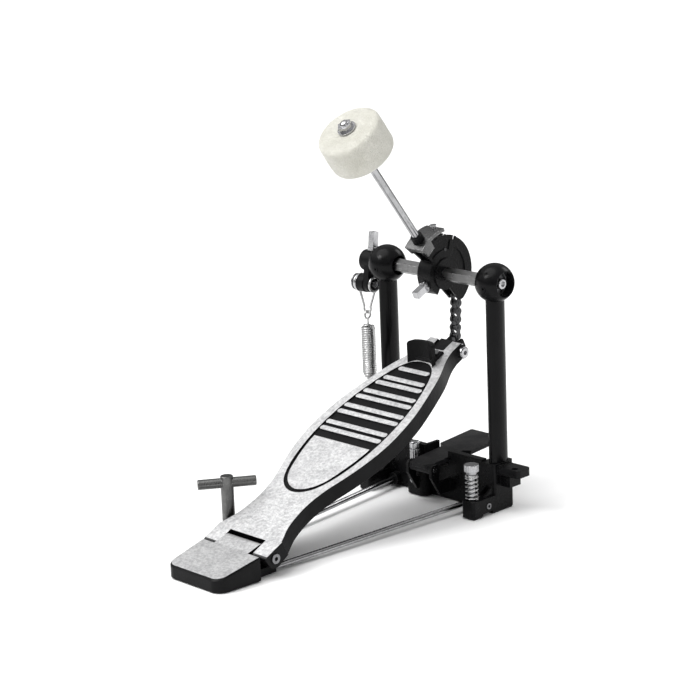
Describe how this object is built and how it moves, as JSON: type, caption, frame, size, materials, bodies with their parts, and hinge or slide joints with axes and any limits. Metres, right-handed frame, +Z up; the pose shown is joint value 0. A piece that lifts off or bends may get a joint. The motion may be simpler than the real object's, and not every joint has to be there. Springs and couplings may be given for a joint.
{
  "type": "bass drum pedal",
  "caption": "Chain-driven bass drum pedal with a felt beater on a hexagonal axle between posts, a return spring, a ribbed footboard, a hinged heel plate and a hoop clamp.",
  "frame": {"origin": "on the floor, below the middle of the axle", "axes": "+X along the axle to the player's right, +Y from the player towards the drum, +Z up"},
  "size_m": [0.1662, 0.304, 0.3083],
  "materials": {
    "casting": "gloss black lacquer over cast metal",
    "tread": "polished raised faces on a black painted casting",
    "wheel": "gloss black",
    "chrome": "bright chrome plate",
    "axle_steel": "brushed along its length",
    "ring_steel": "ground, lightly oiled",
    "saddle_silver": "satin",
    "black_parts": "satin black",
    "clamp_steel": "dark grey, worn",
    "felt": "pressed wool felt",
    "rubber": "moulded rubber",
    "spring_steel": "drawn wire",
    "nylon": "moulded nylon",
    "chain_steel": "oiled black",
    "key_steel": "worn dark nickel"
  },
  "bodies": {
    "frame": {"base_frame": "casting", "post_right": "casting", "post_left": "casting", "post_bolts": "black_parts", "base_pads": "rubber", "foot_screws": "chrome", "bearing_screws": "black_parts", "bearing_outer_rings": "ring_steel", "bearing_balls": "chrome", "radius_rod_right": "chrome", "radius_rod_left": "chrome", "heel_plate": "casting", "heel_pad": "rubber", "hinge_pin": "chrome", "clamp_pivot_pin": "chrome", "clamp_stud": "chrome", "clamp_pad": "rubber", "clamp_boss_screw": "chrome", "clamp_stop_screw": "chrome", "tension_bolt": "chrome", "tension_nut_lower": "chrome", "key_holder": "black_parts", "spur_spring_right": "spring_steel", "spur_spring_left": "spring_steel"},
    "footboard": {"footboard": "tread", "hinge_bushes": "nylon", "toe_stop": "black_parts", "toe_stop_screws": "chrome", "chain_block": "black_parts", "fork_bolt": "chrome", "fork_nut": "chrome", "chain_lower_pin": "chrome"},
    "chain": {"chain_inner_links": "chain_steel", "chain_outer_links": "chain_steel"},
    "axle": {"axle": "axle_steel", "axle_screw": "chrome", "bearing_inner_rings": "ring_steel", "cam_wheel": "wheel", "hub_key_bolt": "chrome", "chain_wheel_link": "chain_steel", "chain_anchor_pin": "chain_steel", "spring_rocker": "black_parts", "rocker_key_bolt": "chrome", "rocker_pin": "chrome", "rocker_roller": "black_parts", "roller_disc": "chrome"},
    "saddle": {"beater_saddle": "saddle_silver", "rod_holder": "black_parts", "saddle_screw": "chrome"},
    "beater": {"beater_rod": "chrome", "felt_head": "felt", "felt_washers": "chrome", "felt_nuts": "chrome"},
    "spring": {"return_spring": "spring_steel"},
    "stirrup": {"spring_stirrup": "spring_steel"},
    "clamp_plate": {"clamp_plate": "clamp_steel"},
    "clamp_nut": {"clamp_nut": "chrome"},
    "spur_right": {"spur_bolt_right": "chrome"},
    "spur_left": {"spur_bolt_left": "chrome"},
    "tension_nut": {"tension_nut_upper": "chrome"},
    "drum_key": {"drum_key": "key_steel"}
  },
  "joints": [
    {"name": "footboard_hinge", "type": "hinge", "parent": "frame", "child": "footboard", "pos_m": [0, -0.20726, 0.01417], "axis": [-1, 0, 0], "range_deg": [0, 4.26], "stiffness_Nm_per_rad": 20, "springref_deg": -5.73},
    {"name": "axle_turn", "type": "hinge", "parent": "frame", "child": "axle", "pos_m": [0, 0, 0.174], "axis": [-1, 0, 0], "range_deg": [0, 50]},
    {"name": "chain_swing", "type": "hinge", "parent": "footboard", "child": "chain", "pos_m": [0, 0.01472, 0.116], "axis": [-1, 0, 0], "range_deg": [-10.9, 0]},
    {"name": "spring_swing", "type": "hinge", "parent": "frame", "child": "spring", "pos_m": [-0.0745, -0.004, 0.072], "axis": [1, 0, 0], "range_deg": [0, 8]},
    {"name": "spring_stretch", "type": "slide", "parent": "spring", "child": "stirrup", "axis": [0, 0, 1], "range_m": [0, 0.0093], "deforming": ["return_spring"]},
    {"name": "saddle_angle", "type": "hinge", "parent": "axle", "child": "saddle", "pos_m": [0, 0, 0.174], "axis": [-1, 0, 0], "range_deg": [-10, 10]},
    {"name": "beater_height", "type": "slide", "parent": "saddle", "child": "beater", "axis": [0, -0.599, 0.8007], "range_m": [-0.012, 0.006]},
    {"name": "clamp_hinge", "type": "hinge", "parent": "frame", "child": "clamp_plate", "pos_m": [0, -0.025, 0.0276], "axis": [1, 0, 0], "range_deg": [0, 8]},
    {"name": "clamp_nut_lift", "type": "slide", "parent": "frame", "child": "clamp_nut", "axis": [0, 0, 1], "range_m": [0, 0.0025]},
    {"name": "spur_right_push", "type": "slide", "parent": "frame", "child": "spur_right", "axis": [0, 0, -1], "range_m": [0, 0.004], "deforming": ["spur_spring_right"]},
    {"name": "spur_left_push", "type": "slide", "parent": "frame", "child": "spur_left", "axis": [0, 0, -1], "range_m": [0, 0.004], "deforming": ["spur_spring_left"]},
    {"name": "tension_nut_turn", "type": "hinge", "parent": "frame", "child": "tension_nut", "pos_m": [-0.0745, -0.004, 0.038], "axis": [0, 0, 1], "continuous": true},
    {"name": "drum_key_lift", "type": "slide", "parent": "frame", "child": "drum_key", "axis": [0, 0, 1], "range_m": [0, 0.025]}
  ],
  "couplings": [
    {"joint": "axle_turn", "follows": "footboard_hinge", "ratio": 11.7},
    {"joint": "chain_swing", "follows": "footboard_hinge", "ratio": -2.52},
    {"joint": "spring_swing", "follows": "footboard_hinge", "ratio": 1.866},
    {"joint": "spring_stretch", "follows": "footboard_hinge", "m_per_rad": 0.1228},
    {"joint": "clamp_nut_lift", "follows": "clamp_hinge", "m_per_rad": 0.0145}
  ]
}
